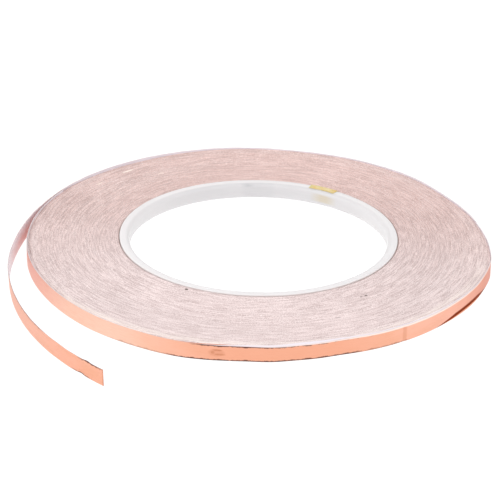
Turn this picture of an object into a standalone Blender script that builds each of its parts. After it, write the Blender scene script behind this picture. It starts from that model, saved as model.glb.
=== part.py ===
"""Copper foil tape roll: a narrow backed foil tape wound on a plastic core, with a free tail.

Metres, +Z up. The origin is on the roll's axis, halfway up the outer turns.
Seen from above, the tape winds outwards counter-clockwise, with its liner inside and its copper outside.
"""

from math import cos, pi, radians, sin

import bpy

# The tape: one strip, made of copper foil with its adhesive, on a paper release liner.
TAPE_WIDTH = 0.005
FOIL_THICKNESS = 0.00007
LINER_THICKNESS = 0.00009
LAYER_GAP = 0.00002

# The roll. The last turn lies loosely on the tight ones, and a little higher,
# so its lower edge is clear of the table.
ROLL_RADIUS = 0.068
TURN_SLACK = 0.0003
WIND_GAP = 0.0001
LAST_TURN_LIFT = 0.00015
DISH_RISE = 0.0009
FLAT_REST_WIDTH = 0.0098

# The core.
CORE_BORE_RADIUS = 0.038
CORE_WALL = 0.003
CORE_PROUD = 0.0003
CORE_CLEARANCE = 0.0003
CORE_INNER_ROUND = 0.0012
CORE_OUTER_ROUND = 0.0003
MOST_ROUND_SHARE = 0.4

# The tab that holds the start of the tape on the core.
TAB_THICKNESS = 0.00012
TAB_LENGTH = 0.0091
TAB_HEIGHT = 0.004
TAB_PROUD = 0.0006
TAB_ANGLE = radians(59.5)

# The free tail: it leaves the roll along a tangent and keeps one even curve.
PEEL_ANGLE = radians(152)
TAIL_LENGTH = 0.126
TAIL_CURVE_RADIUS = 0.0947
TAIL_LENGTHS = 6
TIP_LENGTH = 0.015
BEND_GAP = 0.0002

# Fineness of the round shapes.
RING_STEPS = 120
SHARP_ANGLE = radians(50)
MERGE_DISTANCE = 0.00001
ROUND_STEPS = 4
TAIL_STEP = 0.003

# What follows from the sizes above.
STRIP_THICKNESS = FOIL_THICKNESS + LAYER_GAP + LINER_THICKNESS
LAST_TURN_RISE = STRIP_THICKNESS + TURN_SLACK
PACK_RADIUS = ROLL_RADIUS - LAST_TURN_RISE - STRIP_THICKNESS - WIND_GAP
CORE_RADIUS = CORE_BORE_RADIUS + CORE_WALL
PACK_BORE_RADIUS = CORE_RADIUS + CORE_CLEARANCE
CORE_MIDDLE = DISH_RISE + CORE_PROUD
DISH_START = ROLL_RADIUS - FLAT_REST_WIDTH
TAIL_PIECE = TAIL_LENGTH / TAIL_LENGTHS

COPPER = ("copper", (0.83, 0.45, 0.30), 0.38, 1.0)
PAPER = ("release_paper", (0.80, 0.76, 0.80), 0.75, 0.0)
TURN_EDGES = ("turn_edges", (0.72, 0.56, 0.54), 0.6, 0.2)
PLASTIC = ("core_plastic", (0.86, 0.86, 0.87), 0.35, 0.0)
YELLOW = ("tab_tape", (0.84, 0.68, 0.30), 0.55, 0.0)


def start_scene():
    for old in list(bpy.data.objects):
        bpy.data.objects.remove(old, do_unlink=True)
    parts = bpy.data.collections.new("copper_foil_tape_roll")
    bpy.context.scene.collection.children.link(parts)
    return parts


def material_of(look):
    name, colour, roughness, metallic = look
    material = bpy.data.materials.new(name)
    material.use_nodes = True
    shader = material.node_tree.nodes["Principled BSDF"]
    shader.inputs["Base Color"].default_value = (*colour, 1.0)
    shader.inputs["Roughness"].default_value = roughness
    shader.inputs["Metallic"].default_value = metallic
    return material


def place(name, data, look, parent=None, location=(0, 0, 0)):
    """Adds the object to the roll's collection, with its own material."""
    made = bpy.data.objects.new(name, data)
    parts.objects.link(made)
    data.materials.append(material_of((name + "_" + look[0], *look[1:])))
    made.parent = parent
    made.location = location
    return made


def turned_ring(name, profile, look):
    """A closed profile of (radius, height) points, turned about Z. Its outer side comes first."""
    mesh = bpy.data.meshes.new(name)
    count = len(profile)
    edges = [(i, (i + 1) % count) for i in range(count)]
    mesh.from_pydata([(radius, 0, height) for radius, height in profile], edges, [])
    ring = place(name, mesh, look)
    screw = ring.modifiers.new("turn", "SCREW")
    screw.axis = "Z"
    screw.angle = 2 * pi
    screw.steps = RING_STEPS
    screw.render_steps = RING_STEPS
    screw.use_merge_vertices = True
    screw.merge_threshold = MERGE_DISTANCE
    shade_round(ring)
    return ring


def shade_round(turned):
    """Keeps the turned surface as the object's own mesh, smooth all over except at its real edges."""
    bpy.context.view_layer.update()
    graph = bpy.context.evaluated_depsgraph_get()
    surface = bpy.data.meshes.new_from_object(turned.evaluated_get(graph))
    turned.modifiers.clear()
    turned.data = surface
    surface.shade_smooth()
    surface.set_sharp_from_angle(angle=SHARP_ANGLE)


def ribbon(name, path, width, thickness, look, parent=None, location=(0, 0, 0)):
    """A strip standing on edge: an upright band along a flat path, made thick to both sides."""
    curve = bpy.data.curves.new(name, "CURVE")
    curve.dimensions = "2D"
    curve.fill_mode = "NONE"
    curve.extrude = width / 2
    spline = curve.splines.new("POLY")
    spline.points.add(len(path) - 1)
    for point, (x, y) in zip(spline.points, path):
        point.co = (x, y, 0, 1)
    spline.use_smooth = True
    strip = place(name, curve, look, parent, location)
    solid = strip.modifiers.new("thickness", "SOLIDIFY")
    solid.thickness = thickness
    solid.offset = 0
    solid.use_even_offset = True
    return strip


def tape(name, path, thickness, look, parent=None):
    """A length of one layer of the last turn or the tail. Both stand a little above the tight turns."""
    lift = 0 if parent else LAST_TURN_LIFT
    return ribbon(name, path, TAPE_WIDTH, thickness, look, parent, (0, 0, lift))


def corner(centre_radius, centre_height, round_radius, start, stop, steps):
    """Points of a rounded corner, between two directions in the profile's plane."""
    found = []
    for step in range(steps + 1):
        angle = start + (stop - start) * step / steps
        radius = centre_radius + round_radius * cos(angle)
        found.append((radius, centre_height + round_radius * sin(angle)))
    return found


def core_profile():
    """The core's section: lightly broken outer edges and well rounded inner ones."""
    top = CORE_MIDDLE + TAPE_WIDTH / 2
    bottom = CORE_MIDDLE - TAPE_WIDTH / 2
    most = MOST_ROUND_SHARE * min(TAPE_WIDTH, CORE_WALL)
    inner_round = min(CORE_INNER_ROUND, most)
    outer_round = min(CORE_OUTER_ROUND, most)
    outer = CORE_RADIUS - outer_round
    inner = CORE_BORE_RADIUS + inner_round
    return (
        corner(outer, top - outer_round, outer_round, pi / 2, 0, ROUND_STEPS // 2)
        + corner(outer, bottom + outer_round, outer_round, 0, -pi / 2, ROUND_STEPS // 2)
        + corner(inner, bottom + inner_round, inner_round, -pi / 2, -pi, ROUND_STEPS)
        + corner(inner, top - inner_round, inner_round, pi, pi / 2, ROUND_STEPS)
    )


def dish_at(radius):
    """How far the turns at this radius stand above the outer ones: the roll is dished at its core."""
    share = max(0, DISH_START - radius) / (DISH_START - PACK_BORE_RADIUS)
    return DISH_RISE * share**2


def pack_profile():
    """The tight turns as one ring: flat under the outer turns, then rising to the core."""
    dish_width = DISH_START - PACK_BORE_RADIUS
    radii = [DISH_START - dish_width * step / ROUND_STEPS for step in range(ROUND_STEPS + 1)]
    radii.insert(0, PACK_RADIUS)
    bottom = [(radius, dish_at(radius) - TAPE_WIDTH / 2) for radius in radii]
    top = [(radius, dish_at(radius) + TAPE_WIDTH / 2) for radius in reversed(radii)]
    return [top[-1]] + bottom + top[:-1]


def around(radius, angle):
    return (radius * cos(angle), radius * sin(angle))


def last_turn_path(depth):
    """The outermost turn, this deep below its outer face: a spiral that rises by a tape and slack."""
    end_gap = BEND_GAP / 2 / ROLL_RADIUS
    found = []
    for step in range(RING_STEPS + 1):
        share = step / RING_STEPS
        angle = PEEL_ANGLE - 2 * pi + end_gap + (2 * pi - 2 * end_gap) * share
        found.append(around(ROLL_RADIUS - LAST_TURN_RISE * (1 - share) - depth, angle))
    return found


def tail_point(length, depth):
    """A point of the tail, this far along it from the peel line and this deep below its copper face."""
    centre = around(ROLL_RADIUS - TAIL_CURVE_RADIUS, PEEL_ANGLE)
    x, y = around(TAIL_CURVE_RADIUS - depth, PEEL_ANGLE + length / TAIL_CURVE_RADIUS)
    return (centre[0] + x, centre[1] + y)


def tail_path(start, stop, depth, origin):
    """Part of the tail between two lengths, measured from the piece's own origin."""
    steps = max(2, round((stop - start) / TAIL_STEP))
    points = [tail_point(start + (stop - start) * step / steps, depth) for step in range(steps + 1)]
    return [(x - origin[0], y - origin[1]) for x, y in points]


def bend(name, length, depth, parent, parent_origin):
    """An empty on a bend's upright axis. What turns about the bend hangs from it."""
    origin = tail_point(length, depth)
    empty = bpy.data.objects.new(name, None)
    parts.objects.link(empty)
    empty.empty_display_size = TAPE_WIDTH
    empty.parent = parent
    lift = 0 if parent else LAST_TURN_LIFT
    empty.location = (origin[0] - parent_origin[0], origin[1] - parent_origin[1], lift)
    return empty, origin


FOIL_DEPTH = FOIL_THICKNESS / 2
LINER_DEPTH = FOIL_THICKNESS + LAYER_GAP + LINER_THICKNESS / 2


def build_core():
    turned_ring("core_ring", core_profile(), PLASTIC)
    top = CORE_MIDDLE + TAPE_WIDTH / 2 + TAB_PROUD
    radius = CORE_RADIUS + CORE_CLEARANCE / 2
    spread = TAB_LENGTH / radius
    path = []
    for step in range(ROUND_STEPS + 1):
        path.append(around(radius, TAB_ANGLE + spread * (step / ROUND_STEPS - 0.5)))
    ribbon("start_tab", path, TAB_HEIGHT, TAB_THICKNESS, YELLOW, location=(0, 0, top - TAB_HEIGHT / 2))


def build_turns():
    turned_ring("wound_pack", pack_profile(), TURN_EDGES)
    tape("last_turn_foil", last_turn_path(FOIL_DEPTH), FOIL_THICKNESS, COPPER)
    tape("last_turn_liner", last_turn_path(LINER_DEPTH), LINER_THICKNESS, PAPER)


def build_tail():
    parent = None
    parent_origin = (0, 0)
    half_gap = BEND_GAP / 2
    tip_start = TAIL_LENGTH - TIP_LENGTH
    for number in range(1, TAIL_LENGTHS + 1):
        start = (number - 1) * TAIL_PIECE
        stop = number * TAIL_PIECE
        last = number == TAIL_LENGTHS
        parent, origin = bend(f"tail_bend_{number}", start, STRIP_THICKNESS / 2, parent, parent_origin)
        foil_stop = tip_start if last else stop
        foil = tail_path(start + half_gap, foil_stop - half_gap, FOIL_DEPTH, origin)
        tape(f"tail_foil_{number}", foil, FOIL_THICKNESS, COPPER, parent)
        liner_stop = stop if last else stop - half_gap
        liner = tail_path(start + half_gap, liner_stop, LINER_DEPTH, origin)
        tape(f"tail_liner_{number}", liner, LINER_THICKNESS, PAPER, parent)
        parent_origin = origin
    peel, origin = bend("foil_tip_peel", tip_start, 0, parent, parent_origin)
    tip = tail_path(tip_start + half_gap, TAIL_LENGTH, FOIL_DEPTH, origin)
    tape("foil_tip", tip, FOIL_THICKNESS, COPPER, peel)


parts = start_scene()
build_core()
build_turns()
build_tail()
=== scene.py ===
import math

import bpy
import numpy as np
from mathutils import Matrix, Vector


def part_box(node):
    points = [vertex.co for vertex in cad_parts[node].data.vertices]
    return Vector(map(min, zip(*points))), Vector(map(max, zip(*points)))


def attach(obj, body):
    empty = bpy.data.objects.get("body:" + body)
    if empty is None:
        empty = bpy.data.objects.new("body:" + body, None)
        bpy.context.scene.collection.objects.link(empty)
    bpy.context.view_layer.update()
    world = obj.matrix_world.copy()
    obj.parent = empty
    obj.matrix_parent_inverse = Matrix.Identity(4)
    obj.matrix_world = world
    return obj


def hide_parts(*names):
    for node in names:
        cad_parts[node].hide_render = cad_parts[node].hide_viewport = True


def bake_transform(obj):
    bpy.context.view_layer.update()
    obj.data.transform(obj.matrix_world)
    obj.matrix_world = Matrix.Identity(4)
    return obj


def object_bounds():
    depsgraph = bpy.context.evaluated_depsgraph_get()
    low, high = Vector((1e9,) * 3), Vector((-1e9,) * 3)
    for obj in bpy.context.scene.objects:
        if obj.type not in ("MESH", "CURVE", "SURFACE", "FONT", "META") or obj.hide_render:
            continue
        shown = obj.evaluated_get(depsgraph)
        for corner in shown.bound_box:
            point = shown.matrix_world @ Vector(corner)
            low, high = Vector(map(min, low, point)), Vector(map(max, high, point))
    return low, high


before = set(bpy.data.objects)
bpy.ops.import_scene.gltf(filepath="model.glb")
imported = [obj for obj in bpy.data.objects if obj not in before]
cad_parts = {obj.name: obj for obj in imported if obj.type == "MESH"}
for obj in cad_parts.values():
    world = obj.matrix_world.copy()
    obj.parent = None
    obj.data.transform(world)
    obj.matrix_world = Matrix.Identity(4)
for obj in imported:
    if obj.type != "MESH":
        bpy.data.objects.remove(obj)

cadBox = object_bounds()
mm = 0.001
chance = np.random.default_rng(7)

# The tape and the roll, with the same sizes as the solids they stand for.
tape = {
    "width": 5.0 * mm,
    "foil": 0.07 * mm,
    "liner": 0.09 * mm,
    "layerGap": 0.02 * mm,
}
roll = {
    "radius": 68.0 * mm,
    "lastTurnRise": 0.48 * mm,
    "lastTurnLift": 0.15 * mm,
    "peelAngle": math.radians(152),
    "dishRise": 0.9 * mm,
    "dishStart": 58.2 * mm,
}
tail = {
    "length": 126.0 * mm,
    "curveRadius": 94.7 * mm,
    "piece": 21.0 * mm,
    "lean": 0.25 * mm,
    "out": 0.4 * mm,
    "leanStart": 4.0 * mm,
    "leanEnd": 40.0 * mm,
    "outStart": 30.0 * mm,
    "outEnd": 60.0 * mm,
    # small dents of the strip's edges near its end: place, half width, depth, from and to row
    "nicks": ((119.5, 1.3, 0.35, 0.72, 1.0), (116.6, 1.4, 0.35, 0.30, 0.0)),
}
# The real roll isn't quite round: its outer turns have bumps and flats (angle, half width, height).
outline = {
    "bumps": (
        (78, 14, -0.95), (55, 14, -0.55), (29, 13, -1.30), (10, 7, -0.45),
        (-10, 6, 0.40), (-20, 22, 1.40), (-50, 10, 0.35), (-69.5, 4.5, -0.40),
        (-86, 4, 0.45), (-107, 12, 1.30), (-128, 14, 0.70),
    ),
    "from": 50.0 * mm,
    "coreShift": 0.6 * mm,
    "shiftFrom": 42.0 * mm,
    "shiftTo": 60.0 * mm,
    "coreTilt": 0.5 * mm,
}


def feed(tree, socket, value):
    if isinstance(value, bpy.types.NodeSocket):
        tree.links.new(value, socket)
    else:
        socket.default_value = value


def put(tree, kind, inputs=None, **settings):
    node = tree.nodes.new("ShaderNode" + kind)
    for key, value in settings.items():
        setattr(node, key, value)
    for key, value in (inputs or {}).items():
        feed(tree, node.inputs[key], value)
    return node


def maths(tree, operation, *values, clamp=False):
    inputs = dict(enumerate(values))
    return put(tree, "Math", inputs, operation=operation, use_clamp=clamp).outputs[0]


def plus(tree, first, second):
    return maths(tree, "ADD", first, second)


def minus(tree, first, second):
    return maths(tree, "SUBTRACT", first, second)


def times(tree, first, second):
    return maths(tree, "MULTIPLY", first, second)


def vectorOf(tree, x, y, z):
    return put(tree, "CombineXYZ", {0: x, 1: y, 2: z}).outputs[0]


def noiseOf(tree, vector, scale=1.0, detail=2.0, rough=0.5):
    values = {"Vector": vector, "Scale": scale, "Detail": detail, "Roughness": rough}
    return put(tree, "TexNoise", values).outputs["Fac"]


def ramped(tree, value, low, high, toLow=0.0, toHigh=1.0):
    values = {"Value": value, "From Min": low, "From Max": high, "To Min": toLow, "To Max": toHigh}
    return put(tree, "MapRange", values, interpolation_type="SMOOTHSTEP").outputs["Result"]


def colourMix(tree, share, first, second):
    node = put(tree, "Mix", {0: share}, data_type="RGBA", clamp_factor=True)
    for socket, value in ((node.inputs[6], first), (node.inputs[7], second)):
        feed(tree, socket, (*value, 1.0) if isinstance(value, tuple) else value)
    return node.outputs[2]


def newGroup(name, inputs, floats, vectors=()):
    group = bpy.data.node_groups.new(name, "ShaderNodeTree")
    add = group.interface.new_socket
    for label, value in inputs.items():
        add(name=label, in_out="INPUT", socket_type="NodeSocketFloat").default_value = value
    for labels, kind in ((vectors, "NodeSocketVector"), (floats, "NodeSocketFloat")):
        for label in labels:
            add(name=label, in_out="OUTPUT", socket_type=kind)
    entry = group.nodes.new("NodeGroupInput")
    leave = group.nodes.new("NodeGroupOutput")
    return group, entry.outputs, leave.inputs


def give(group, out, values):
    for label, value in values.items():
        group.links.new(value, out[label])


def useGroup(tree, group, values=None):
    node = tree.nodes.new("ShaderNodeGroup")
    node.node_tree = group
    for key, value in (values or {}).items():
        feed(tree, node.inputs[key], value)
    return node.outputs


def newMaterial(name, settings=None):
    material = bpy.data.materials.new(name)
    material.use_nodes = True
    shader = material.node_tree.nodes["Principled BSDF"]
    for key, value in (settings or {}).items():
        shader.inputs[key].default_value = value
    return material, material.node_tree, shader


def dress(tree, shader, sockets, height, bump):
    # links what varies over the surface to the shader, and a bump given as strength and distance
    for label, value in sockets.items():
        tree.links.new(value, shader.inputs[label])
    values = {"Height": height, "Strength": bump[0], "Distance": bump[1]}
    normal = put(tree, "Bump", values).outputs["Normal"]
    tree.links.new(normal, shader.inputs["Normal"])


def newPiece(name, points, faces, materials, faceMaterials=None, uvs=None, sharpAngle=50):
    mesh = bpy.data.meshes.new(name)
    mesh.from_pydata(points, [], faces)
    for material in materials:
        mesh.materials.append(material)
    if faceMaterials is not None:
        mesh.polygons.foreach_set("material_index", np.asarray(faceMaterials, np.int32))
    if uvs is not None:
        layer = mesh.uv_layers.new(name="alongTape")
        layer.data.foreach_set("uv", np.asarray(uvs, np.float32).ravel())
    mesh.update()
    mesh.shade_smooth()
    mesh.set_sharp_from_angle(angle=math.radians(sharpAngle))
    piece = bpy.data.objects.new(name, mesh)
    bpy.context.scene.collection.objects.link(piece)
    return piece


def eased(share):
    return share * share * (3 - 2 * share)


def smooth(value, low, high):
    return eased(np.clip((np.asarray(value, float) - low) / (high - low), 0, 1))


def bell(value, centre, halfWidth):
    return np.exp(-((np.asarray(value, float) - centre) / halfWidth) ** 2)


def bumpsAt(angle, bumps):
    # the sum of soft bumps around the roll: angle and half width in degrees, height in millimetres
    degrees = np.degrees(np.asarray(angle, float))
    total = np.zeros_like(degrees)
    for centre, halfWidth, height in bumps:
        away = (degrees - centre + 180) % 360 - 180
        total = total + height * mm * bell(away, 0, halfWidth)
    return total


def settled(points):
    # moves points of the round roll to where its uneven outer turns and its core really lie
    points = np.array(points, float)
    radius = np.hypot(points[:, 0], points[:, 1])
    angle = np.arctan2(points[:, 1], points[:, 0])
    uneven = bumpsAt(angle, outline["bumps"]) * smooth(radius, outline["from"], roll["radius"])
    grown = 1 + uneven / radius
    points[:, 0] *= grown
    points[:, 1] *= grown
    near = 1 - smooth(radius, outline["shiftFrom"], outline["shiftTo"])
    points[:, 0] += outline["coreShift"] * near
    points[:, 2] -= outline["coreTilt"] * near * points[:, 1] / outline["shiftFrom"]
    return points


def valueNoise(position, knots):
    place = np.asarray(position, float)
    base = np.floor(place).astype(int)
    share = eased(place - base)
    count = len(knots)
    return knots[base % count] * (1 - share) + knots[(base + 1) % count] * share


def buildRollPlace():
    floats = ("Radius", "Angle", "Height")
    group, get, out = newGroup("rollPlace", {"Shift": 0.0}, floats, ("Around",))
    place = put(group, "TexCoord").outputs["Object"]
    parts = put(group, "SeparateXYZ", {0: place}).outputs
    across = minus(group, parts[0], get["Shift"])
    flat = vectorOf(group, across, parts[1], 0.0)
    radius = put(group, "VectorMath", {0: flat}, operation="LENGTH").outputs["Value"]
    around = put(group, "VectorMath", {0: flat}, operation="NORMALIZE").outputs["Vector"]
    angle = maths(group, "ARCTAN2", parts[1], across)
    give(group, out, {"Around": around, "Radius": radius, "Angle": angle, "Height": parts[2]})
    return group


def buildWindingStreaks(rollPlace):
    inputs = {"Turn Lines": 5200.0, "Band Lines": 3100.0, "Length": 8.0, "Speck Size": 3900.0}
    group, get, out = newGroup("windingStreaks", inputs, ("Lines", "Bands", "Specks", "Pits"))
    place = useGroup(group, rollPlace)

    def lines(length, density, rough):
        parts = put(group, "SeparateXYZ", {0: place["Around"]}).outputs
        stretched = vectorOf(
            group,
            times(group, parts[0], length),
            times(group, parts[1], length),
            times(group, place["Radius"], density),
        )
        return noiseOf(group, stretched, 1.0, 1.0, rough)

    spot = put(group, "TexCoord").outputs["Object"]
    give(group, out, {
        "Lines": lines(times(group, get["Length"], 2.5), get["Turn Lines"], 0.5),
        "Bands": lines(get["Length"], get["Band Lines"], 0.6),
        "Specks": noiseOf(group, spot, get["Speck Size"], 1.0),
        "Pits": noiseOf(group, spot, times(group, get["Speck Size"], 0.45), 2.0, 0.6),
    })
    return group


def buildSoftPatches():
    inputs = {"Size": 60.0, "Low": 0.35, "High": 0.65}
    group, get, out = newGroup("softPatches", inputs, ("Patches",))
    spot = put(group, "TexCoord").outputs["Object"]
    patches = noiseOf(group, spot, get["Size"], 3.0, 0.5)
    group.links.new(ramped(group, patches, get["Low"], get["High"]), out["Patches"])
    return group


def buildTapeGrain():
    inputs = {
        "Lines Along": 260.0, "Lines Across": 9000.0,
        "Waves Along": 90.0, "Waves Across": 220.0, "Blot Size": 1300.0,
    }
    floats = ("Along", "Across", "Grain", "Waves", "Blots")
    group, get, out = newGroup("tapeGrain", inputs, floats)
    place = put(group, "UVMap", uv_map="alongTape").outputs[0]
    parts = put(group, "SeparateXYZ", {0: place}).outputs

    def stretched(along, across, level):
        along, across = times(group, parts[0], along), times(group, parts[1], across)
        return vectorOf(group, along, across, level)

    lines = stretched(get["Lines Along"], get["Lines Across"], 0.0)
    waves = stretched(get["Waves Along"], get["Waves Across"], 3.0)
    flat = vectorOf(group, parts[0], parts[1], 0.0)
    give(group, out, {
        "Along": parts[0],
        "Across": parts[1],
        "Grain": noiseOf(group, lines, 1.0, 3.0, 0.6),
        "Waves": noiseOf(group, waves),
        "Blots": noiseOf(group, flat, get["Blot Size"]),
    })
    return group


def buildTapeEdges():
    inputs = {
        "Along": 0.0, "Across": 0.0, "Width": tape["width"], "Reach": 0.50 * mm, "Breaks": 420.0,
    }
    group, get, out = newGroup("tapeEdges", inputs, ("Low Edge", "High Edge"))
    place = vectorOf(group, times(group, get["Along"], get["Breaks"]), 0.0, 0.0)
    broken = ramped(group, noiseOf(group, place, 1.0, 3.0, 0.65), 0.3, 0.7, 0.35, 1.6)
    reach = times(group, get["Reach"], broken)
    fromTop = minus(group, get["Width"], get["Across"])
    for label, distance in (("Low Edge", get["Across"]), ("High Edge", fromTop)):
        share = maths(group, "DIVIDE", distance, reach)
        group.links.new(ramped(group, share, 0.4, 1.0, 1.0, 0.0), out[label])
    return group


def buildSpan():
    inputs = {"Value": 0.0, "From": 0.0, "To": 1.0, "Soft": 0.1}
    group, get, out = newGroup("span", inputs, ("Inside",))

    def edge(high, low):
        return maths(group, "DIVIDE", minus(group, high, low), get["Soft"], clamp=True)

    inside = times(group, edge(get["Value"], get["From"]), edge(get["To"], get["Value"]))
    group.links.new(inside, out["Inside"])
    return group


def buildFleck():
    inputs = {
        "Along": 0.0, "Across": 0.0, "At Along": 0.0, "At Across": 0.0,
        "Half Length": 0.5 * mm, "Half Width": 0.3 * mm,
    }
    group, get, out = newGroup("fleck", inputs, ("Inside",))

    def squared(side, half):
        away = minus(group, get[side], get["At " + side])
        share = maths(group, "DIVIDE", away, get[half])
        return times(group, share, share)

    reach = plus(group, squared("Along", "Half Length"), squared("Across", "Half Width"))
    group.links.new(ramped(group, reach, 0.5, 1.4, 1.0, 0.0), out["Inside"])
    return group


rollPlace = buildRollPlace()
windingStreaks = buildWindingStreaks(rollPlace)
softPatches = buildSoftPatches()
tapeGrain = buildTapeGrain()
tapeEdges = buildTapeEdges()
span = buildSpan()
fleck = buildFleck()
print("shader groups made")


def inSpan(tree, value, start, stop, soft):
    values = {"Value": value, "From": start, "To": stop, "Soft": soft}
    return useGroup(tree, span, values)["Inside"]


def fleckAt(tree, along, across, atAlong, atAcross, halfLength, halfWidth):
    # a soft spot, with its place and its half sizes in millimetres
    values = {
        "Along": along, "Across": across, "At Along": atAlong * mm, "At Across": atAcross * mm,
        "Half Length": halfLength * mm, "Half Width": halfWidth * mm,
    }
    return useGroup(tree, fleck, values)["Inside"]


edgeLook = {
    # dark, light, metallic and roughness
    "liner": ((0.52, 0.40, 0.39), (0.98, 0.85, 0.84), 0.0, 0.62),
    "foil": ((0.49, 0.31, 0.28), (0.92, 0.69, 0.64), 0.1, 0.52),
    # each texture's ramp and its share of the tone between dark and light
    "tones": (
        ("Lines", 0.35, 0.65, 0.14), ("Bands", 0.38, 0.62, 0.36), ("Specks", 0.38, 0.62, 0.46),
    ),
    "patchSize": 45.0,
    "patchShare": 0.08,
    "speckLight": (1.00, 0.96, 0.94),
    "speckRamp": (0.62, 0.76, 0.0, 0.6),
    "pitDark": (0.36, 0.27, 0.26),
    "pitRamp": (0.33, 0.24, 0.0, 0.4),
    # painted shade: a dark ring on the innermost turns, for the shadow in the gap next to the core
    "gap": (0.42, 0.27, 0.24),
    "gapRamp": (41.50 * mm, 41.20 * mm, 0.0, 0.7),
    "cream": (0.94, 0.84, 0.78),
    "creamRamp": (64.8 * mm, 67.2 * mm),
    "creamBreaks": (0.35, 0.6, 0.1, 0.6),
    "creamSpan": (math.radians(-160), math.radians(-8), 0.3),
    "roughSpread": 0.1,
    "bump": (0.3, 0.04 * mm),
    "flecks": (
        # angle in degrees, then radius and half sizes in millimetres, strength and colour
        (-117.5, 41.95, 0.55, 0.40, 0.9, (0.12, 0.08, 0.07)),
        (-50.4, 48.7, 0.50, 0.30, 0.8, (0.16, 0.11, 0.10)),
        (-52.3, 48.5, 0.45, 0.30, 0.6, (0.20, 0.13, 0.12)),
        (-65.6, 55.5, 0.90, 0.30, 0.6, (0.38, 0.30, 0.30)),
        # the three light flecks are painted highlights
        (130.6, 62.4, 2.20, 0.35, 0.9, (1.00, 0.90, 0.82)),
        (142.5, 61.5, 1.30, 0.38, 0.8, (0.98, 0.84, 0.76)),
        (123.1, 55.4, 1.00, 0.38, 0.6, (0.98, 0.84, 0.76)),
    ),
}


def turnEdgeMaterial(name, dark, light, metallic, roughness):
    look = edgeLook
    material, tree, shader = newMaterial(name, {"Metallic": metallic})
    streaks = useGroup(tree, windingStreaks)
    place = useGroup(tree, rollPlace)
    patches = useGroup(tree, softPatches, {"Size": look["patchSize"]})["Patches"]
    tone = None
    for kind, low, high, share in look["tones"]:
        part = times(tree, ramped(tree, streaks[kind], low, high), share)
        tone = part if tone is None else plus(tree, tone, part)
    tone = plus(tree, tone, times(tree, patches, look["patchShare"]))
    colour = colourMix(tree, tone, dark, light)
    specks = ramped(tree, streaks["Specks"], *look["speckRamp"])
    colour = colourMix(tree, specks, colour, look["speckLight"])
    pits = ramped(tree, streaks["Pits"], *look["pitRamp"])
    colour = colourMix(tree, pits, colour, look["pitDark"])
    # painted shade on the innermost turns, next to the core
    inner = useGroup(tree, rollPlace, {"Shift": outline["coreShift"]})["Radius"]
    colour = colourMix(tree, ramped(tree, inner, *look["gapRamp"]), colour, look["gap"])
    outer = ramped(tree, place["Radius"], *look["creamRamp"])
    outer = times(tree, outer, ramped(tree, streaks["Bands"], *look["creamBreaks"]))
    outer = times(tree, outer, inSpan(tree, place["Angle"], *look["creamSpan"]))
    colour = colourMix(tree, outer, colour, look["cream"])
    for angle, radius, halfLength, halfWidth, strength, tint in look["flecks"]:
        along = times(tree, place["Angle"], radius * mm)
        shape = (math.radians(angle) * radius, radius, halfLength, halfWidth)
        spot = times(tree, fleckAt(tree, along, place["Radius"], *shape), strength)
        colour = colourMix(tree, spot, colour, tint)
    low, high = roughness - look["roughSpread"], roughness + look["roughSpread"]
    rough = ramped(tree, streaks["Bands"], 0.3, 0.7, low, high)
    height = plus(tree, streaks["Bands"], streaks["Specks"])
    dress(tree, shader, {"Base Color": colour, "Roughness": rough}, height, look["bump"])
    return material


copperLook = {
    "base": (0.88, 0.46, 0.315),
    "mottle": (0.94, 0.50, 0.37),
    "grain": (0.80, 0.36, 0.23),
    # pale is painted reflection, paler copper where the wall catches more light; deep is painted
    # shade, deeper copper where it catches less
    "pale": (0.94, 0.62, 0.49),
    "deep": (0.86, 0.41, 0.27),
    # painted shade: dark lines along the foil's low and high edges
    "edgeShadow": (0.13, 0.06, 0.05),
    "rosy": (0.92, 0.56, 0.52),
    "rose": (0.74, 0.37, 0.33),
    # painted shadow: the dark streak under the last turn's lifted bottom edge
    "streakShadow": (0.24, 0.035, 0.008),
    "lip": (0.98, 0.82, 0.75),
    # painted shade in the foil's creases
    "crease": (0.62, 0.24, 0.13),
    # painted shade of the dent in the wall
    "dentShade": (0.55, 0.20, 0.10),
    "edgeTint": (0.85, 0.68, 0.62, 1.0),
    "streakWidth": 1.35 * mm,
    "lipWidth": 0.65 * mm,
    "leastWidth": 0.01 * mm,
    # how softly the marks run out along the tape, in millimetres
    "soft": {"lowLines": 4.0, "highLines": 4.0, "creases": 0.5, "lips": 45.0, "streaks": 9.0},
    "areaSoft": 30.0,
    "mottleRamp": (0.35, 0.65),
    "grainRamp": (0.45, 0.7, 0.0, 0.25),
    "markRamp": (0.6, 1.0, 1.0, 0.0),
    "blotRamp": (0.38, 0.60, 0.75, 1.0),
    "roughRamp": (0.3, 0.7, 0.30, 0.46),
    "bump": (0.12, 0.03 * mm),
}


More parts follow.
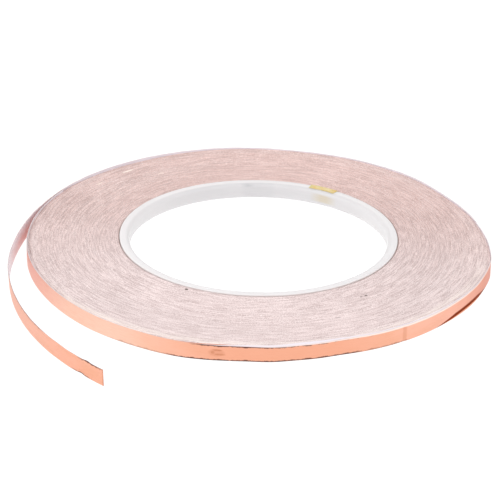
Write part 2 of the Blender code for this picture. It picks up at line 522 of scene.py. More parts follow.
def copperMaterial(name, areas):
    # areas: for each kind of mark a list of (from, to, amount), in millimetres from the peel line,
    # and for the painted shade of the wall's dent a list of (along, across, half length, half
    # width, amount)
    look = copperLook
    settings = {"Metallic": 1.0, "Specular Tint": look["edgeTint"]}
    material, tree, shader = newMaterial(name, settings)
    grain = useGroup(tree, tapeGrain)
    along, across = grain["Along"], grain["Across"]
    edges = useGroup(tree, tapeEdges, {"Along": along, "Across": across})

    def within(kind):
        soft = look["soft"].get(kind, look["areaSoft"]) * mm
        total = None
        for start, stop, amount in areas[kind]:
            inside = times(tree, inSpan(tree, along, start * mm, stop * mm, soft), amount)
            total = inside if total is None else maths(tree, "MAXIMUM", total, inside)
        return total

    mottle = ramped(tree, grain["Waves"], *look["mottleRamp"])
    colour = colourMix(tree, mottle, look["base"], look["mottle"])
    # pale spans are painted reflection and deep spans painted shade
    for kind in ("pale", "rosy", "rose", "deep"):
        if kind in areas:
            colour = colourMix(tree, within(kind), colour, look[kind])
    fine = ramped(tree, grain["Grain"], *look["grainRamp"])
    colour = colourMix(tree, fine, colour, look["grain"])
    # painted shade along the foil's low and high edges
    for kind, edge in (("lowLines", "Low Edge"), ("highLines", "High Edge")):
        if kind in areas:
            line = times(tree, edges[edge], within(kind))
            colour = colourMix(tree, line, colour, look["edgeShadow"])
    # painted shade in the creases
    if "creases" in areas:
        colour = colourMix(tree, within("creases"), colour, look["crease"])
    for kind, distance, width, tint in (
        ("lips", minus(tree, tape["width"], across), look["lipWidth"], look["lip"]),
        # the streaks are painted shadow under the lifted edge
        ("streaks", across, look["streakWidth"], look["streakShadow"]),
    ):
        if kind in areas:
            # a mark that is widest at its middle and runs out to nothing along the edge
            reach = maths(tree, "MAXIMUM", times(tree, within(kind), width), look["leastWidth"])
            share = maths(tree, "DIVIDE", distance, reach)
            colour = colourMix(tree, ramped(tree, share, *look["markRamp"]), colour, tint)
    # painted shade of the dent
    for *shape, amount in areas.get("dentShades", ()):
        spot = times(tree, fleckAt(tree, along, across, *shape), amount)
        spot = times(tree, spot, ramped(tree, grain["Blots"], *look["blotRamp"]))
        colour = colourMix(tree, spot, colour, look["dentShade"])
    rough = ramped(tree, grain["Grain"], *look["roughRamp"])
    dress(tree, shader, {"Base Color": colour, "Roughness": rough}, grain["Grain"], look["bump"])
    return material


linerLook = {
    "base": (0.86, 0.80, 0.85),
    "warm": (0.86, 0.73, 0.74),
    "fibre": (0.92, 0.90, 0.92),
    "lip": (0.80, 0.74, 0.79),
    "glow": (0.86, 0.30, 0.22),
    "warmShare": 0.35,
    "fibreRamp": (0.5, 0.75, 0.0, 0.2),
    "lipRamp": (0.80 * tape["width"], 0.92 * tape["width"], 0.0, 0.8),
    "glowSpan": (4.0 * mm, 48.0 * mm, 20.0 * mm),
    "glowRamp": (0.75 * tape["width"], 0.25 * tape["width"]),
    "glowShare": 0.6,
    "roughRamp": (0.3, 0.7, 0.48, 0.64),
    "sheen": 0.15,
    "bump": (0.15, 0.03 * mm),
}


def linerMaterial():
    look = linerLook
    material, tree, shader = newMaterial("releaseLiner", {"Sheen Weight": look["sheen"]})
    grain = useGroup(tree, tapeGrain, {"Lines Along": 700.0, "Lines Across": 1500.0})
    patches = useGroup(tree, softPatches, {"Size": 120.0})["Patches"]
    warm = times(tree, patches, look["warmShare"])
    colour = colourMix(tree, warm, look["base"], look["warm"])
    fibre = ramped(tree, grain["Grain"], *look["fibreRamp"])
    colour = colourMix(tree, fibre, colour, look["fibre"])
    # painted reflection: the copper's reddish light bounced onto the liner where the tail leaves
    # the roll
    glow = inSpan(tree, grain["Along"], *look["glowSpan"])
    glow = times(tree, glow, ramped(tree, grain["Across"], *look["glowRamp"]))
    colour = colourMix(tree, times(tree, glow, look["glowShare"]), colour, look["glow"])
    lip = ramped(tree, grain["Across"], *look["lipRamp"])
    colour = colourMix(tree, lip, colour, look["lip"])
    rough = ramped(tree, grain["Grain"], *look["roughRamp"])
    dress(tree, shader, {"Base Color": colour, "Roughness": rough}, grain["Grain"], look["bump"])
    return material


adhesiveLook = {
    "dark": (0.66, 0.42, 0.33),
    "light": (0.78, 0.55, 0.45),
    "lightRamp": (0.35, 0.7),
    "coatRamp": (0.3, 0.7, 0.7, 0.2),
    "metallic": 0.75,
    "roughness": 0.42,
    "bump": (0.3, 0.05 * mm),
}


def adhesiveMaterial():
    look = adhesiveLook
    settings = {"Metallic": look["metallic"], "Roughness": look["roughness"]}
    material, tree, shader = newMaterial("foilAdhesive", settings)
    grain = useGroup(tree, tapeGrain, {"Lines Along": 900.0, "Lines Across": 1800.0})["Grain"]
    colour = colourMix(tree, ramped(tree, grain, *look["lightRamp"]), look["dark"], look["light"])
    coat = ramped(tree, grain, *look["coatRamp"])
    dress(tree, shader, {"Base Color": colour, "Coat Weight": coat}, grain, look["bump"])
    return material


coreLook = {
    "base": (0.825, 0.80, 0.805),
    "shade": (0.77, 0.75, 0.755),
    "shadeShare": 0.35,
    # painted shade: the bore darker than the rim
    "inner": (0.715, 0.695, 0.70),
    "innerRamp": (39.5 * mm, 38.5 * mm),
    # painted shade: the back of the bore darker still
    "innerBackShade": (0.655, 0.640, 0.65),
    # painted shade: a thin dark line at the core's outer edge, for the shadow in the gap next to
    # the wound turns
    "gap": (0.42, 0.27, 0.23),
    "gapRamp": (40.84 * mm, 40.98 * mm, 0.0, 0.3),
    "mark": (0.42, 0.42, 0.44),
    "tan": (0.62, 0.52, 0.34),
    # on the bore: colour, angles in degrees, softness, heights in millimetres and amount
    "marks": (
        # painted shade: the back of the bore darker, not a mark
        ("innerBackShade", 30, 150, 0.6, -9, 9, 1.0),
        ("mark", 82.0, 99.0, 0.05, -9, 9, 0.13),
        ("mark", 92.0, 98.5, 0.05, 1.9, 3.3, 0.45),
        ("tan", 51.5, 66.0, 0.10, -0.6, 2.4, 0.65),
    ),
    "markSoft": 0.6 * mm,
    "markRamp": (38.9 * mm, 38.5 * mm),
    "drawnAround": 6.0,
    "drawnUp": 3500.0,
    "roughRamp": (0.3, 0.7, 0.28, 0.42),
    "bump": (0.12, 0.05 * mm),
}


def coreMaterial():
    look = coreLook
    settings = {
        "IOR": 1.50,
        "Subsurface Weight": 0.6,
        "Subsurface Radius": (1.0, 0.95, 0.95),
        "Subsurface Scale": 1.6 * mm,
    }
    material, tree, shader = newMaterial("corePlastic", settings)
    place = useGroup(tree, rollPlace, {"Shift": outline["coreShift"]})
    patches = useGroup(tree, softPatches, {"Size": 40.0})["Patches"]
    shade = times(tree, patches, look["shadeShare"])
    colour = colourMix(tree, shade, look["base"], look["shade"])
    around = times(tree, place["Angle"], look["drawnAround"])
    up = times(tree, place["Height"], look["drawnUp"])
    drawn = noiseOf(tree, vectorOf(tree, around, 0.0, up))
    # painted shade on the bore
    inner = ramped(tree, place["Radius"], *look["innerRamp"])
    colour = colourMix(tree, inner, colour, look["inner"])
    onBore = ramped(tree, place["Radius"], *look["markRamp"])
    for name, start, stop, soft, low, high, amount in look["marks"]:
        across = inSpan(tree, place["Angle"], math.radians(start), math.radians(stop), soft)
        tall = inSpan(tree, place["Height"], low * mm, high * mm, look["markSoft"])
        mask = times(tree, times(tree, across, tall), onBore)
        mask = times(tree, mask, ramped(tree, drawn, 0.2, 0.7, amount * 0.7, amount))
        colour = colourMix(tree, mask, colour, look[name])
    # painted shade: the core's outer edge darkened where it meets the wound turns
    gapShadowMask = ramped(tree, place["Radius"], *look["gapRamp"])
    colour = colourMix(tree, gapShadowMask, colour, look["gap"])
    rough = ramped(tree, drawn, *look["roughRamp"])
    dress(tree, shader, {"Base Color": colour, "Roughness": rough}, drawn, look["bump"])
    return material


tabLook = {
    "base": (0.74, 0.51, 0.17),
    "pale": (0.80, 0.66, 0.36),
    "green": (0.58, 0.58, 0.22),
    "greenShare": 0.5,
    "roughRamp": (0.3, 0.7, 0.5, 0.75),
    "bump": (0.6, 0.05 * mm),
}


def tabMaterial():
    look = tabLook
    material, tree, shader = newMaterial("tabTape")
    grain = useGroup(tree, tapeGrain, {"Lines Along": 1500.0, "Lines Across": 600.0})["Grain"]
    patches = useGroup(tree, softPatches, {"Size": 420.0})["Patches"]
    colour = colourMix(tree, patches, look["base"], look["pale"])
    green = useGroup(tree, softPatches, {"Size": 650.0, "Low": 0.52, "High": 0.62})["Patches"]
    colour = colourMix(tree, times(tree, green, look["greenShare"]), colour, look["green"])
    rough = ramped(tree, grain, *look["roughRamp"])
    dress(tree, shader, {"Base Color": colour, "Roughness": rough}, grain, look["bump"])
    return material


linerEdge = turnEdgeMaterial("linerEdges", *edgeLook["liner"])
foilEdge = turnEdgeMaterial("foilEdges", *edgeLook["foil"])
rollCopper = copperMaterial("copperRoll", {
    # painted reflection
    "pale": [(-380, -300, 0.9), (-262, -232, 0.35)],
    "rosy": [(-470, -345, 0.9), (-240, -205, 0.6)],
    "rose": [(-222, -100, 0.9)],
    # painted shade
    "deep": [(-322, -235, 0.9)],
    # lowLines and highLines: painted shade along the edges
    "lowLines": [(-313, -255, 1.0), (-330, -306, 0.35), (-258, -240, 0.5)],
    "highLines": [(-305, -258, 1.0), (-262, -238, 0.5)],
    # painted shade in the crease
    "creases": [(-243.8, -242.0, 0.35)],
    # painted shade of the dent
    "dentShades": [(-297.4, 2.5, 2.2, 1.3, 0.30), (-297.2, 3.4, 1.3, 0.30, 0.65),
                (-298.4, 2.5, 0.5, 0.50, 0.50), (-296.4, 1.9, 1.5, 0.30, 0.55)],
    # painted shadow under the lifted edge
    "streaks": [(-231, -200, 1.0)],
    "lips": [(-290, -110, 1.0)],
})
tailCopper = copperMaterial("copperTail", {
    # painted reflection
    "pale": [(-40, 112, 0.8)],
    "rosy": [(20, 110, 0.35)],
    # painted shade
    "deep": [(96, 180, 0.15)],
    # lowLines and highLines: painted shade along the edges
    "lowLines": [(112, 122, 0.9)],
    "highLines": [(40, 100, 0.45), (115, 127, 0.9)],
    # painted shade in the crease
    "creases": [(125.4, 127.5, 0.6)],
})
# painted shade: the copper under the last turn made deeper all over
innerCopper = copperMaterial("copperUnderTurn", {"deep": [(-999, 999, 1.0)]})
linerPaper = linerMaterial()
foilAdhesive = adhesiveMaterial()
corePlastic = coreMaterial()
tabTape = tabMaterial()
print("materials made")


def ringPoints(radii, angles, heights):
    return np.stack([radii * np.cos(angles), radii * np.sin(angles), heights], -1)


core = {
    "steps": 224,
    "wall": 3.0 * mm,
    "innerRound": 1.2 * mm,
    "innerSteps": 7,
    "outerRound": 0.3 * mm,
    "outerSteps": 3,
    "wallRows": 6,
    "wobble": 0.04 * mm,
    "knots": 24,
}


def buildCore():
    low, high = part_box("core_ring")
    outer = high.x
    inner = outer - core["wall"]
    knots = chance.uniform(-1, 1, core["knots"])

    def arc(centreR, centreZ, size, start, stop, steps):
        angles = np.linspace(start, stop, steps + 1)
        return [(centreR + size * math.cos(a), centreZ + size * math.sin(a)) for a in angles]

    small, large, quarter = core["outerRound"], core["innerRound"], math.pi / 2
    wall = [(inner, z) for z in np.linspace(low.z + large, high.z - large, core["wallRows"])[1:-1]]
    profile = np.array(
        arc(outer - small, high.z - small, small, quarter, 0, core["outerSteps"])
        + arc(outer - small, low.z + small, small, 0, -quarter, core["outerSteps"])
        + arc(inner + large, low.z + large, large, -quarter, -math.pi, core["innerSteps"])
        + wall
        + arc(inner + large, high.z - large, large, math.pi, quarter, core["innerSteps"])
        + [((inner + large + outer - small) / 2, high.z)]
    )
    angles = np.arange(core["steps"]) * 2 * math.pi / core["steps"]
    wobble = core["wobble"] * valueNoise(angles / (2 * math.pi) * len(knots), knots)
    onBore = np.where(profile[:, 0] < inner + large, 1, 0)
    radii = profile[:, 0][None, :] + onBore[None, :] * wobble[:, None]
    heights = np.broadcast_to(profile[:, 1], radii.shape)
    points = ringPoints(radii, angles[:, None], heights).reshape(-1, 3)
    count = len(profile)
    faces = []
    for i in range(core["steps"]):
        j = (i + 1) % core["steps"]
        for k in range(count):
            m = (k + 1) % count
            faces.append((i * count + k, i * count + m, j * count + m, j * count + k))
    ring = newPiece("coreRing", settled(points).tolist(), faces, [corePlastic])
    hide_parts("core_ring")
    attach(ring, "roll")


buildCore()
print("core made")


pack = {
    "turns": 142,
    "steps": 160,
    "bore": 41.15 * mm,
    "grooveDepth": 0.05 * mm,
    "linerProud": 0.015 * mm,
    "turnNoise": 0.028 * mm,
    "knotsPerTurn": 23,
    "bandNoise": 0.04 * mm,
    "bandTurns": 2.4,
    "bandKnots": 29,
    "bandShift": 7,
    "swell": 0.06 * mm,
    "swellKnots": 9,
    "swellShift": 3,
    "looseTurns": 6,
    "looseGroove": 0.22 * mm,
    "looseNoise": 0.14 * mm,
    "looseLeast": 0.10,
    "looseAt": ((192, 34, 0.85),),
    "sunkAt": ((128, 26, 0.60), (38, 26, 0.30)),
    "sunkFrom": 64.5 * mm,
    "spreadFrom": 64.0 * mm,
    # the share of a turn from which the tight turns close up to where the last turn began
    "closeFrom": 0.985,
    "lastTurnDepth": 0.23 * mm,
    # where the turns below give way to the last turn's dent and crease
    "pressedAt": ((-98.2, 4.0, 0.32), (-52.8, 3.0, 0.15)),
    # three points a turn: the groove under a foil, that foil's edge and the next turn's liner edge
    "offsets": (0.0, 0.30, 0.72),
    "lowOffset": 0.5,
    "lowUneven": 0.3,
    "boreStep": 0.10 * mm,
    "outerStep": 0.12 * mm,
}


def dishAt(radius, bore):
    share = np.clip((roll["dishStart"] - radius) / (roll["dishStart"] - bore), 0, 1)
    return roll["dishRise"] * share**2


def spiralSheet(radii, heights, rowsPerTurn, steps, innerRing, outerRing, firstVertex):
    # radii and heights are rows x steps; after a full turn each row runs on into the next turn's
    rows = len(radii)
    angles = np.arange(steps) * 2 * math.pi / steps
    points = ringPoints(radii, angles, heights).reshape(-1, 3)

    def vertex(row, step):
        if step == steps:
            row, step = row + rowsPerTurn, 0
        if row < 0:
            return innerRing + step
        if row >= rows:
            return outerRing + step
        return firstVertex + row * steps + step

    faces, marks = [], []
    for step in range(steps):
        first = -1 - rowsPerTurn if step == steps - 1 else -1
        for row in range(first, rows):
            corners = (
                vertex(row, step), vertex(row + 1, step),
                vertex(row + 1, step + 1), vertex(row, step + 1),
            )
            kept = tuple(dict.fromkeys(corners))
            if len(kept) > 2:
                faces.append(kept)
                marks.append(row % rowsPerTurn)
    return points, faces, marks


def buildPack():
    bore, outer = pack["bore"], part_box("wound_pack")[1].x
    turns, steps = pack["turns"], pack["steps"]
    pitch = (outer - bore) / (turns + 1)
    share = np.arange(steps) / steps
    angles = share * 2 * math.pi
    half = tape["width"] / 2

    turnKnots = chance.uniform(-1, 1, turns * pack["knotsPerTurn"])
    bandCount = int(turns / pack["bandTurns"]) + 2
    bandKnots = chance.uniform(-1, 1, (bandCount + 1, pack["bandKnots"]))
    swellKnots = chance.uniform(-1, 1, (2, pack["swellKnots"]))

    # how far the loose last turn stands off the tight ones, which spread to meet it
    turnShare = np.mod(angles - roll["peelAngle"], 2 * math.pi) / (2 * math.pi)
    turnShare = turnShare * (1 - smooth(turnShare, pack["closeFrom"], 1.0))
    room = roll["radius"] - roll["lastTurnRise"] * (1 - turnShare) - pack["lastTurnDepth"] - outer
    room = room - bumpsAt(angles, pack["pressedAt"])

    def spread(radii):
        return room * smooth(radii, pack["spreadFrom"], outer)

    def looseAt(winding):
        side = pack["looseLeast"] + bumpsAt(angles, pack["looseAt"]) / mm
        return smooth(winding, turns - pack["looseTurns"], turns - 0.5) * side

    def noiseAt(winding):
        near = valueNoise(winding * pack["knotsPerTurn"], turnKnots) * pack["turnNoise"]
        near = near * (1 + looseAt(winding) * pack["looseNoise"] / pack["turnNoise"])
        band = winding / pack["bandTurns"]
        lower = np.floor(band).astype(int)
        part = eased(band - lower)
        count = pack["bandKnots"]
        place = np.broadcast_to(share * count, winding.shape)
        base = np.floor(place).astype(int)
        inside = eased(place - base)

        def level(index):
            first = base + index * pack["bandShift"] % count
            return (bandKnots[index, first % count] * (1 - inside)
                    + bandKnots[index, (first + 1) % count] * inside)

        bands = level(lower) * (1 - part) + level(np.minimum(lower + 1, bandCount)) * part
        place = share * pack["swellKnots"]
        swell = valueNoise(place, swellKnots[0])
        swell = swell + valueNoise(place + pack["swellShift"], swellKnots[1])
        return near + bands * pack["bandNoise"] + swell * pack["swell"] / 2

    windings = np.arange(turns)[:, None] + share[None, :]
    base = noiseAt(windings)
    groove = pack["grooveDepth"]
    groove = groove + (pack["looseGroove"] - groove) * looseAt(windings)
    perTurn = len(pack["offsets"])
    topRadii = np.zeros((turns * perTurn, steps))
    topHeights = np.zeros((turns * perTurn, steps))
    for part, offset in enumerate(pack["offsets"]):
        radius = bore + pitch * (windings + offset)
        height = dishAt(radius, bore) + half + base
        height -= groove if part == 0 else 0
        height += pack["linerProud"] if part == 1 else 0
        topRadii[part::perTurn] = radius
        topHeights[part::perTurn] = height
    topRadii += spread(topRadii)
    sunk = bumpsAt(angles, pack["sunkAt"])
    topHeights -= sunk * smooth(topRadii, pack["sunkFrom"], outer)
    lowRadii = bore + pitch * (windings + pack["lowOffset"])
    lowRadii += spread(lowRadii)
    lowHeights = dishAt(lowRadii, bore) - half + pack["lowUneven"] * np.abs(base)

    def ring(radius, height):
        return ringPoints(radius, angles, np.broadcast_to(height, steps))

    # the first 4 rings close the two sheets: the top's inner and outer edge, then the underside's
    innerTop = ring(bore, roll["dishRise"] + half - pack["boreStep"])
    outerTop = ring(outer + room, half - pack["outerStep"] - sunk)
    innerLow = ring(bore, roll["dishRise"] - half)
    outerLow = ring(outer + room, -half)
    first = 4 * steps
    topPoints, topFaces, topMarks = spiralSheet(
        topRadii, topHeights, perTurn, steps, 0, steps, first)
    first += len(topPoints)
    lowPoints, lowFaces, _ = spiralSheet(
        lowRadii, lowHeights, 1, steps, 2 * steps, 3 * steps, first)
    faces = topFaces + [tuple(reversed(face)) for face in lowFaces]
    materials = [1 if mark == 0 else 0 for mark in topMarks] + [0] * len(lowFaces)
    for i in range(steps):
        j = (i + 1) % steps
        faces.append((steps + i, 3 * steps + i, 3 * steps + j, steps + j))
        faces.append((i, j, 2 * steps + j, 2 * steps + i))
        materials += [2, 0]
    points = np.concatenate([innerTop, outerTop, innerLow, outerLow, topPoints, lowPoints])
    sides = [linerEdge, foilEdge, innerCopper]
    piece = newPiece("woundTurns", settled(points).tolist(), faces, sides, materials, None, 60)
    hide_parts("wound_pack")
    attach(piece, "roll")
    return piece


packPiece = buildPack()
print("wound turns made:", len(packPiece.data.polygons), "faces")


strip = {
    "rows": 11,
    "rollStep": 1.1 * mm,
    "tailStep": 0.7 * mm,
    "tipStep": 0.4 * mm,
    "startGap": 0.2 * mm,
    # from the peel line: where the tail's pieces begin, where the foil's tip begins, and the span
    # given for the tip's bend
    "split": -9.0 * mm,
    "tipFrom": 108.2 * mm,
    "tipBend": (108.6 * mm, 113.4 * mm),
    # how far past its joint the last length's bend span reaches
    "lastBend": 3.0 * mm,
    # how far from the peel line the last turn's bumps and the roll's uneven outline fade out
    "bumpFade": 6.0 * mm,
    "outlineFade": 24.0 * mm,
    "waveHeight": 0.10 * mm,
    "waveLength": 17.0 * mm,
    "waveMiddle": 0.4,
    "waveEdges": 1.2,
    "ripple": 0.035 * mm,
    "rippleLength": 3.1 * mm,
    "uneven": 0.045 * mm,
    "unevenLength": 2.3 * mm,
    # bumps of the last turn around the roll, as (angle, half width, height)
    "foilTop": ((-88, 22, -0.55), (-45, 22, -0.12), (-10, 12, 0.10)),
    "linerTop": ((-104, 12, -0.40), (-76, 8, 0.28), (-40, 26, 0.20), (-10, 12, 0.20)),
    "lift": ((-28.0, 9.5, 1.10),),
    "flare": ((-29.5, 8.5, 0.40),),
    "flarePower": 2.2,
    "dent": ((-98.6, 1.9, 0.24), (-96.2, 1.1, 0.12)),
    "dentSpan": 1.15,
    "crease": ((-52.8, 0.7, 0.12),),
}
waveKnots = chance.uniform(-1, 1, 64)
rippleKnots = chance.uniform(-1, 1, 512)
edgeKnots = chance.uniform(-1, 1, 256)


def tapeAt(s):
    # place of the copper face and its outward direction, this far along the tape from the peel line
    s = np.asarray(s, float)
    onRoll = s <= 0
    peel = roll["peelAngle"]
    angle = peel + np.where(onRoll, s / roll["radius"], 0)
    turnShare = np.clip(-s / (2 * math.pi * roll["radius"]), 0, 1)
    radius = roll["radius"] - roll["lastTurnRise"] * turnShare
    rollOut = np.stack([np.cos(angle), np.sin(angle)], -1)
    bent = peel + s / tail["curveRadius"]
    centre = (roll["radius"] - tail["curveRadius"]) * np.array([math.cos(peel), math.sin(peel)])
    tailOut = np.stack([np.cos(bent), np.sin(bent)], -1)
    tailPoint = centre + tail["curveRadius"] * tailOut
    pick = onRoll[..., None]
    point = np.where(pick, radius[..., None] * rollOut, tailPoint)
    return point, np.where(pick, rollOut, tailOut), angle


def shapeAt(s, isFoil):
    # edge heights and outward push of the strip at each station and row
    angle = tapeAt(s)[2]
    row = np.linspace(0, 1, strip["rows"])[None, :]
    fromMiddle = np.abs(row - 0.5)
    onRoll = 1 - smooth(s, -strip["bumpFade"], strip["bumpFade"])
    half = tape["width"] / 2

    def bumps(kind):
        return bumpsAt(angle, strip[kind]) * onRoll

    uneven = valueNoise(s / strip["unevenLength"], edgeKnots) * strip["uneven"]
    low = roll["lastTurnLift"] - half + bumps("lift") + np.abs(uneven) * 0.5
    high = roll["lastTurnLift"] + half + bumps("foilTop" if isFoil else "linerTop") + uneven
    onTail = smooth(s, tail["leanStart"], tail["leanEnd"])[:, None]
    wave = valueNoise(s / strip["waveLength"], waveKnots)[:, None] * strip["waveHeight"] * onTail
    wave = wave * (strip["waveMiddle"] + strip["waveEdges"] * fromMiddle)
    ripple = valueNoise(s / strip["rippleLength"], rippleKnots)[:, None] * strip["ripple"]
    push = wave + ripple * (fromMiddle * 2) ** 2
    push = push + onTail * tail["lean"] * (row - 0.5)
    push = push + tail["out"] * smooth(s, tail["outStart"], tail["outEnd"])[:, None]
    push = push + bumps("flare")[:, None] * (1 - row) ** strip["flarePower"]
    dent = np.sin(math.pi * np.clip(row * strip["dentSpan"], 0, 1)) ** 2
    push = push - bumps("dent")[:, None] * dent - bumps("crease")[:, None]
    for centre, halfWidth, depth, edgeRow, fullRow in tail["nicks"]:
        part = smooth(row, edgeRow, fullRow)
        push = push - bell(s, centre * mm, halfWidth * mm)[:, None] * part * depth * mm
    return low, high, push, row


def shellFaces(count, rows):
    # the faces of a thin sheet from its front and back layer of count x rows points, with the marks
    # 0 for front, 1 for back and 2 for the cut edges, and the station and row of every face corner
    half, last = count * rows, (count - 1) * rows
    faces, marks = [], []
    for start in range(0, last, rows):
        for a in range(start, start + rows - 1):
            b, c, d = a + rows, a + rows + 1, a + 1
            faces += [(a, b, c, d), (half + d, half + c, half + b, half + a)]
            marks += [0, 1]
        low, high = start, start + rows - 1
        faces.append((low, half + low, half + low + rows, low + rows))
        faces.append((high, high + rows, half + high + rows, half + high))
        marks += [2, 2]
    for j in range(rows - 1):
        faces.append((j, j + 1, half + j + 1, half + j))
        faces.append((last + j + 1, last + j, half + last + j, half + last + j + 1))
        marks += [2, 2]
    return faces, marks, np.divmod(np.array(faces).ravel() % half, rows)


def stripPiece(name, start, stop, step, isFoil, materials):
    count = max(4, round((stop - start) / step)) + 1
    s = np.linspace(start, stop, count)
    point, out, _ = tapeAt(s)
    low, high, push, row = shapeAt(s, isFoil)
    thick = tape["foil"] if isFoil else tape["liner"]
    depth = thick / 2 if isFoil else tape["foil"] + tape["layerGap"] + thick / 2
    rows = strip["rows"]
    z = low[:, None] + (high - low)[:, None] * row
    layers = []
    for side in (0.5, -0.5):
        away = push - depth + side * thick
        xy = point[:, None, :] + out[:, None, :] * away[..., None]
        layers.append(np.concatenate([xy, z[..., None]], -1).reshape(-1, 3))
    points = np.concatenate(layers)
    onRoll = 1 - smooth(np.tile(np.repeat(s, rows), 2), -strip["outlineFade"], 0.0)
    points = points + (settled(points) - points) * onRoll[:, None]
    faces, marks, (i, j) = shellFaces(count, rows)
    uvs = np.stack([s[i], row[0, j] * tape["width"]], -1)
    return newPiece(name, points.tolist(), faces, materials, marks, uvs)


def joined(piece, first, second, start, stop):
    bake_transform(piece)


# materials of the front, the back and the cut edges
foilFaces = {
    "roll": [rollCopper, foilAdhesive, rollCopper],
    "tail": [tailCopper, foilAdhesive, tailCopper],
}
linerFaces = [linerPaper, linerPaper, linerPaper]


def buildStrip():
    turnStart = -2 * math.pi * roll["radius"] + strip["startGap"]
    split, tipFrom = strip["split"], strip["tipFrom"]
    for kind, isFoil, materials, slot in (
        ("Foil", True, foilFaces["roll"], "copper_foil"),
        ("Liner", False, linerFaces, "release_liner"),
    ):
        step = strip["rollStep"]
        piece = stripPiece("lastTurn" + kind, turnStart, split, step, isFoil, materials)
        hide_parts("last_turn_" + kind.lower())
        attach(piece, "roll")
    length = tail["piece"]
    for number in range(1, 7):
        joint = (number - 1) * length
        bodies = ("roll" if number == 1 else f"tail_{number - 1}", f"tail_{number}")
        start = split if number == 1 else joint - length / 2
        bendFrom = 0.0 if number == 1 else start
        for kind, isFoil in (("foil", True), ("liner", False)):
            stop = bendTo = joint + length / 2
            if number == 6:
                stop = tipFrom if isFoil else tail["length"]
                bendTo = joint + strip["lastBend"]
            materials = foilFaces["tail"] if isFoil else linerFaces
            name = f"tail{kind.capitalize()}{number}"
            piece = stripPiece(name, start, stop, strip["tailStep"], isFoil, materials)
            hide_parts(f"tail_{kind}_{number}")
            joined(piece, *bodies, bendFrom, bendTo)
    tip = stripPiece("foilTip", tipFrom, tail["length"], strip["tipStep"], True, foilFaces["tail"])
    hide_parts("foil_tip")
    joined(tip, "tail_6", "peeled_foil", *strip["tipBend"])


buildStrip()
print("strip made")


tab = {
    "steps": 26,
    "wallRows": 8,
    "bendRows": 4,
    "flatRows": 6,
    "radius": 41.15 * mm,
    "length": 9.1 * mm,
    "middle": math.radians(60.5),
    "thickness": 0.12 * mm,
    "bend": 0.25 * mm,
    "overRim": 0.12 * mm,
    "foldIn": 2.4 * mm,
    "droop": 0.03 * mm,
    "uneven": 0.10 * mm,
    "unevenSpan": 9,
    "knots": 40,
    "grainHeight": 4.0 * mm,
}


def buildTab():
    low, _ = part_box("start_tab")
    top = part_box("core_ring")[1].z + tab["overRim"]
    radius, bend, steps = tab["radius"], tab["bend"], tab["steps"]
    spread = tab["length"] / radius
    knots = chance.uniform(-1, 1, tab["knots"])
    angles = tab["middle"] + spread * (np.linspace(0, 1, steps) - 0.5)
    uneven = valueNoise(np.linspace(0, tab["unevenSpan"], steps), knots) * tab["uneven"]
    # the section: up between core and first turn, round a small bend and flat over the core's rim
    turn = np.linspace(0, math.pi / 2, tab["bendRows"] + 1)[1:]
    flat = np.linspace(0, 1, tab["flatRows"] + 1)[1:]
    up = np.linspace(low.z, top - bend, tab["wallRows"])
    sectionR = np.concatenate([
        np.full(len(up), radius), radius - bend * (1 - np.cos(turn)),
        radius - bend - flat * (tab["foldIn"] - bend)])
    sectionZ = np.concatenate([up, top - bend * (1 - np.sin(turn)), top - flat * tab["droop"]])
    outR = np.concatenate([np.ones(len(up)), np.cos(turn), np.zeros(len(flat))])
    outZ = np.concatenate([np.zeros(len(up)), np.sin(turn), np.ones(len(flat))])
    inward = np.concatenate([np.zeros(len(up) + len(turn)), flat])
    rows = len(sectionR)
    layers = []
    for side in (0.5, -0.5):
        radii = sectionR + side * tab["thickness"] * outR + uneven[:, None] * inward
        heights = np.broadcast_to(sectionZ + side * tab["thickness"] * outZ, radii.shape)
        layers.append(ringPoints(radii, angles[:, None], heights).reshape(-1, 3))
    faces, _, (i, j) = shellFaces(steps, rows)
    uvs = np.stack([i * spread * radius / steps, j * tab["grainHeight"] / rows], -1)
    points = settled(np.concatenate(layers))
    piece = newPiece("startTab", points.tolist(), faces, [tabTape], None, uvs)
    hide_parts("start_tab")
    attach(piece, "roll")


buildTab()
print("tab made")


studio = {
    "floorSize": 12.0,
    "floorPatch": 3.0,
    "floorDark": (0.10, 0.10, 0.10),
    "floorLight": (0.12, 0.12, 0.12),
    "worldSeen": 1.0,
    "worldLight": 0.92,
    # place, width and power
    "lights": {
        "keyLeft": ((-0.75, -0.45, 0.40), 0.55, 1.6),
        "fillRight": ((0.75, -0.30, 0.35), 0.50, 0.5),
        "frontSoft": ((-0.10, -0.80, 0.75), 0.80, 1.6),
    },
}


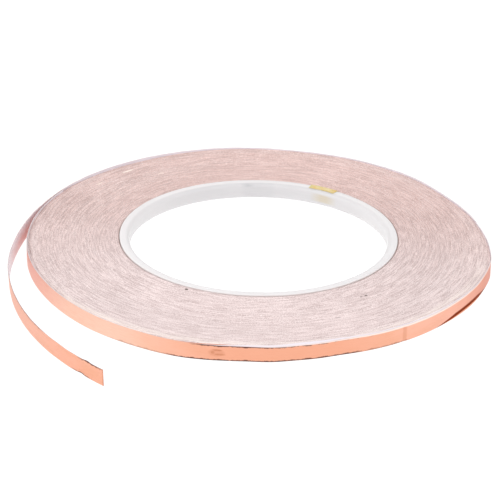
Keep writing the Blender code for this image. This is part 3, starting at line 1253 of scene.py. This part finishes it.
def buildStudio():
    size = studio["floorSize"] / 2
    height = cadBox[0].z
    corners = [(x * size, y * size, height) for x, y in ((-1, -1), (1, -1), (1, 1), (-1, 1))]
    material, tree, shader = newMaterial("paleFloor", {
        "Roughness": 0.9, "Emission Strength": 1.0, "Emission Color": (1, 1, 1, 1),
        "Specular IOR Level": 0.0,
    })
    patches = useGroup(tree, softPatches, {"Size": studio["floorPatch"]})["Patches"]
    colour = colourMix(tree, patches, studio["floorDark"], studio["floorLight"])
    tree.links.new(colour, shader.inputs["Base Color"])
    floor = newPiece("floor", corners, [(0, 1, 2, 3)], [material])
    world = bpy.data.worlds.new("softStudio")
    world.use_nodes = True
    sky = world.node_tree.nodes["Background"]
    sky.inputs["Color"].default_value = (1, 1, 1, 1)
    seen = put(world.node_tree, "LightPath").outputs["Is Camera Ray"]
    strength = ramped(world.node_tree, seen, 0.0, 1.0, studio["worldLight"], studio["worldSeen"])
    world.node_tree.links.new(strength, sky.inputs["Strength"])
    bpy.context.scene.world = world
    for name, (place, wide, power) in studio["lights"].items():
        light = bpy.data.lights.new(name, "AREA")
        light.shape = "DISK"
        light.size = wide
        light.energy = power
        lamp = bpy.data.objects.new(name, light)
        lamp.location = place
        lamp.rotation_euler = (-Vector(place)).to_track_quat("-Z", "Y").to_euler()
        bpy.context.scene.collection.objects.link(lamp)


camera = {
    "distance": 711.28 * mm,
    "elevation": math.radians(25.61),
    "lens": 173.1,
    "sensor": 36.0,
    "clipStart": 0.01,
    # small turns in radians that centre the roll and level it
    "yaw": -0.0026,
    "pitch": -0.0014,
    "roll": -0.0197,
}


def buildCamera():
    e, d = camera["elevation"], camera["distance"]
    place = Vector((0, -d * math.cos(e), d * math.sin(e)))
    aim = (-place).to_track_quat("-Z", "Y").to_matrix()
    small = (
        Matrix.Rotation(camera["roll"], 3, "Z")
        @ Matrix.Rotation(camera["pitch"], 3, "X")
        @ Matrix.Rotation(camera["yaw"], 3, "Y")
    )
    made = bpy.data.cameras.new("camera")
    made.lens = camera["lens"]
    made.sensor_width = camera["sensor"]
    made.clip_start = camera["clipStart"]
    eye = bpy.data.objects.new("camera", made)
    eye.rotation_mode = "QUATERNION"
    eye.rotation_quaternion = (aim @ small.transposed()).to_quaternion()
    eye.location = place + Vector((0, 0, cadBox[0].z))
    bpy.context.scene.collection.objects.link(eye)
    bpy.context.scene.camera = eye


buildStudio()
buildCamera()
bpy.context.scene.view_settings.view_transform = "Standard"
print("studio made")
